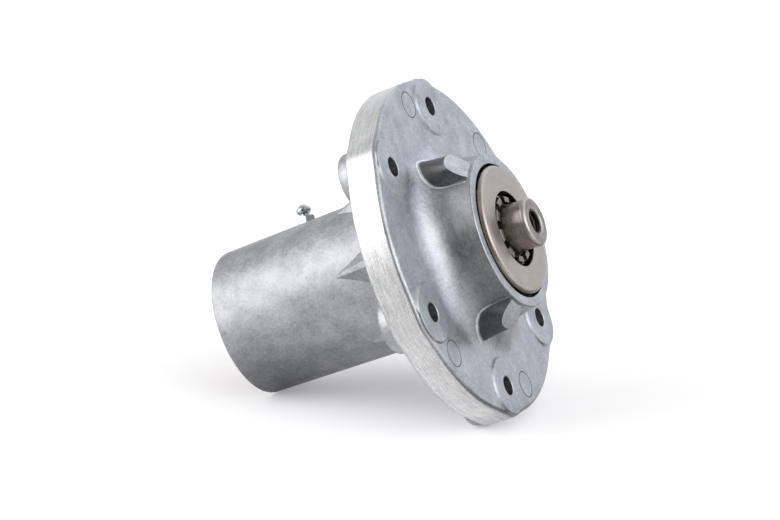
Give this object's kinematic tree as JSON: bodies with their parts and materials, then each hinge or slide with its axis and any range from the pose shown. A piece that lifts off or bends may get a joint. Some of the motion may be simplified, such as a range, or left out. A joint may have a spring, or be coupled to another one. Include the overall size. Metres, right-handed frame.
{
  "type": "mower blade hub",
  "caption": "Mower blade hub: lobed cast flange and tube, taper roller bearings, a turning spindle with threaded bores, a retaining ring and a side grease fitting.",
  "frame": {"origin": "on the spindle's axis, in the plane of the tube's end, so the hub stands on its tube end", "axes": "+Z along the spindle's axis toward the nose that carries the blade; the grease fitting points to -X and one screw hole lies on +X"},
  "size_m": [0.1384, 0.1356, 0.1303],
  "materials": {
    "cast_aluminium": "die cast, satin",
    "ground_bearing_steel": "ground",
    "pressed_cage_steel": "pressed sheet",
    "turned_spindle_steel": "turned",
    "drawn_sleeve_steel": "drawn tube",
    "blued_spring_steel": "blued",
    "zinc_plated_steel": "bright zinc plate"
  },
  "bodies": {
    "hub": {"housing": "cast_aluminium", "front_cup": "ground_bearing_steel", "rear_cup": "ground_bearing_steel", "rear_retaining_ring": "blued_spring_steel", "grease_fitting": "zinc_plated_steel", "fitting_spring": "ground_bearing_steel"},
    "spindle": {"spindle": "turned_spindle_steel", "front_cone": "ground_bearing_steel", "rear_cone": "ground_bearing_steel", "spacer_sleeve": "drawn_sleeve_steel"},
    "front_cage": {"front_cage": "pressed_cage_steel"},
    "rear_cage": {"rear_cage": "pressed_cage_steel"},
    "front_roller_01": {"front_roller_01": "ground_bearing_steel"},
    "front_roller_02": {"front_roller_02": "ground_bearing_steel"},
    "front_roller_03": {"front_roller_03": "ground_bearing_steel"},
    "front_roller_04": {"front_roller_04": "ground_bearing_steel"},
    "front_roller_05": {"front_roller_05": "ground_bearing_steel"},
    "front_roller_06": {"front_roller_06": "ground_bearing_steel"},
    "front_roller_07": {"front_roller_07": "ground_bearing_steel"},
    "front_roller_08": {"front_roller_08": "ground_bearing_steel"},
    "front_roller_09": {"front_roller_09": "ground_bearing_steel"},
    "front_roller_10": {"front_roller_10": "ground_bearing_steel"},
    "rear_roller_01": {"rear_roller_01": "ground_bearing_steel"},
    "rear_roller_02": {"rear_roller_02": "ground_bearing_steel"},
    "rear_roller_03": {"rear_roller_03": "ground_bearing_steel"},
    "rear_roller_04": {"rear_roller_04": "ground_bearing_steel"},
    "rear_roller_05": {"rear_roller_05": "ground_bearing_steel"},
    "rear_roller_06": {"rear_roller_06": "ground_bearing_steel"},
    "rear_roller_07": {"rear_roller_07": "ground_bearing_steel"},
    "rear_roller_08": {"rear_roller_08": "ground_bearing_steel"},
    "rear_roller_09": {"rear_roller_09": "ground_bearing_steel"},
    "rear_roller_10": {"rear_roller_10": "ground_bearing_steel"},
    "check_ball": {"check_ball": "ground_bearing_steel"}
  },
  "joints": [
    {"name": "spindle_spin", "type": "hinge", "parent": "hub", "child": "spindle", "pos_m": [0, 0, 0.065], "axis": [0, 0, 1], "continuous": true},
    {"name": "front_cage_spin", "type": "hinge", "parent": "hub", "child": "front_cage", "pos_m": [0, 0, 0.1127], "axis": [0, 0, 1], "continuous": true},
    {"name": "rear_cage_spin", "type": "hinge", "parent": "hub", "child": "rear_cage", "pos_m": [0, 0, 0.01296], "axis": [0, 0, 1], "continuous": true},
    {"name": "front_roller_01_spin", "type": "hinge", "parent": "front_cage", "child": "front_roller_01", "pos_m": [0.01531, 0.00382, 0.1127], "axis": [-0.3398, -0.0847, 0.9367], "continuous": true},
    {"name": "front_roller_02_spin", "type": "hinge", "parent": "front_cage", "child": "front_roller_02", "pos_m": [0.01014, 0.01209, 0.1127], "axis": [-0.2251, -0.2683, 0.9367], "continuous": true},
    {"name": "front_roller_03_spin", "type": "hinge", "parent": "front_cage", "child": "front_roller_03", "pos_m": [0.0011, 0.01574, 0.1127], "axis": [-0.0244, -0.3494, 0.9367], "continuous": true},
    {"name": "front_roller_04_spin", "type": "hinge", "parent": "front_cage", "child": "front_roller_04", "pos_m": [-0.00836, 0.01338, 0.1127], "axis": [0.1856, -0.297, 0.9367], "continuous": true},
    {"name": "front_roller_05_spin", "type": "hinge", "parent": "front_cage", "child": "front_roller_05", "pos_m": [-0.01463, 0.00591, 0.1127], "axis": [0.3247, -0.1312, 0.9367], "continuous": true},
    {"name": "front_roller_06_spin", "type": "hinge", "parent": "front_cage", "child": "front_roller_06", "pos_m": [-0.01531, -0.00382, 0.1127], "axis": [0.3398, 0.0847, 0.9367], "continuous": true},
    {"name": "front_roller_07_spin", "type": "hinge", "parent": "front_cage", "child": "front_roller_07", "pos_m": [-0.01014, -0.01209, 0.1127], "axis": [0.2251, 0.2683, 0.9367], "continuous": true},
    {"name": "front_roller_08_spin", "type": "hinge", "parent": "front_cage", "child": "front_roller_08", "pos_m": [-0.0011, -0.01574, 0.1127], "axis": [0.0244, 0.3494, 0.9367], "continuous": true},
    {"name": "front_roller_09_spin", "type": "hinge", "parent": "front_cage", "child": "front_roller_09", "pos_m": [0.00836, -0.01338, 0.1127], "axis": [-0.1856, 0.297, 0.9367], "continuous": true},
    {"name": "front_roller_10_spin", "type": "hinge", "parent": "front_cage", "child": "front_roller_10", "pos_m": [0.01463, -0.00591, 0.1127], "axis": [-0.3247, 0.1312, 0.9367], "continuous": true},
    {"name": "rear_roller_01_spin", "type": "hinge", "parent": "rear_cage", "child": "rear_roller_01", "pos_m": [0.01531, 0.00382, 0.01296], "axis": [0.3398, 0.0847, 0.9367], "continuous": true},
    {"name": "rear_roller_02_spin", "type": "hinge", "parent": "rear_cage", "child": "rear_roller_02", "pos_m": [0.01014, 0.01209, 0.01296], "axis": [0.2251, 0.2683, 0.9367], "continuous": true},
    {"name": "rear_roller_03_spin", "type": "hinge", "parent": "rear_cage", "child": "rear_roller_03", "pos_m": [0.0011, 0.01574, 0.01296], "axis": [0.0244, 0.3494, 0.9367], "continuous": true},
    {"name": "rear_roller_04_spin", "type": "hinge", "parent": "rear_cage", "child": "rear_roller_04", "pos_m": [-0.00836, 0.01338, 0.01296], "axis": [-0.1856, 0.297, 0.9367], "continuous": true},
    {"name": "rear_roller_05_spin", "type": "hinge", "parent": "rear_cage", "child": "rear_roller_05", "pos_m": [-0.01463, 0.00591, 0.01296], "axis": [-0.3247, 0.1312, 0.9367], "continuous": true},
    {"name": "rear_roller_06_spin", "type": "hinge", "parent": "rear_cage", "child": "rear_roller_06", "pos_m": [-0.01531, -0.00382, 0.01296], "axis": [-0.3398, -0.0847, 0.9367], "continuous": true},
    {"name": "rear_roller_07_spin", "type": "hinge", "parent": "rear_cage", "child": "rear_roller_07", "pos_m": [-0.01014, -0.01209, 0.01296], "axis": [-0.2251, -0.2683, 0.9367], "continuous": true},
    {"name": "rear_roller_08_spin", "type": "hinge", "parent": "rear_cage", "child": "rear_roller_08", "pos_m": [-0.0011, -0.01574, 0.01296], "axis": [-0.0244, -0.3494, 0.9367], "continuous": true},
    {"name": "rear_roller_09_spin", "type": "hinge", "parent": "rear_cage", "child": "rear_roller_09", "pos_m": [0.00836, -0.01338, 0.01296], "axis": [0.1856, -0.297, 0.9367], "continuous": true},
    {"name": "rear_roller_10_spin", "type": "hinge", "parent": "rear_cage", "child": "rear_roller_10", "pos_m": [0.01463, -0.00591, 0.01296], "axis": [0.3247, -0.1312, 0.9367], "continuous": true},
    {"name": "check_ball_slide", "type": "slide", "parent": "hub", "child": "check_ball", "axis": [1, 0, 0], "range_m": [0, 0.0008], "stiffness_N_per_m": 300, "springref_m": -0.001, "deforming": ["fitting_spring"]}
  ],
  "couplings": [
    {"joint": "front_cage_spin", "follows": "spindle_spin", "ratio": 0.41821},
    {"joint": "rear_cage_spin", "follows": "spindle_spin", "ratio": 0.41821},
    {"joint": "front_roller_01_spin", "follows": "spindle_spin", "ratio": -2.7863},
    {"joint": "front_roller_02_spin", "follows": "spindle_spin", "ratio": -2.7863},
    {"joint": "front_roller_03_spin", "follows": "spindle_spin", "ratio": -2.7863},
    {"joint": "front_roller_04_spin", "follows": "spindle_spin", "ratio": -2.7863},
    {"joint": "front_roller_05_spin", "follows": "spindle_spin", "ratio": -2.7863},
    {"joint": "front_roller_06_spin", "follows": "spindle_spin", "ratio": -2.7863},
    {"joint": "front_roller_07_spin", "follows": "spindle_spin", "ratio": -2.7863},
    {"joint": "front_roller_08_spin", "follows": "spindle_spin", "ratio": -2.7863},
    {"joint": "front_roller_09_spin", "follows": "spindle_spin", "ratio": -2.7863},
    {"joint": "front_roller_10_spin", "follows": "spindle_spin", "ratio": -2.7863},
    {"joint": "rear_roller_01_spin", "follows": "spindle_spin", "ratio": -2.7863},
    {"joint": "rear_roller_02_spin", "follows": "spindle_spin", "ratio": -2.7863},
    {"joint": "rear_roller_03_spin", "follows": "spindle_spin", "ratio": -2.7863},
    {"joint": "rear_roller_04_spin", "follows": "spindle_spin", "ratio": -2.7863},
    {"joint": "rear_roller_05_spin", "follows": "spindle_spin", "ratio": -2.7863},
    {"joint": "rear_roller_06_spin", "follows": "spindle_spin", "ratio": -2.7863},
    {"joint": "rear_roller_07_spin", "follows": "spindle_spin", "ratio": -2.7863},
    {"joint": "rear_roller_08_spin", "follows": "spindle_spin", "ratio": -2.7863},
    {"joint": "rear_roller_09_spin", "follows": "spindle_spin", "ratio": -2.7863},
    {"joint": "rear_roller_10_spin", "follows": "spindle_spin", "ratio": -2.7863}
  ]
}
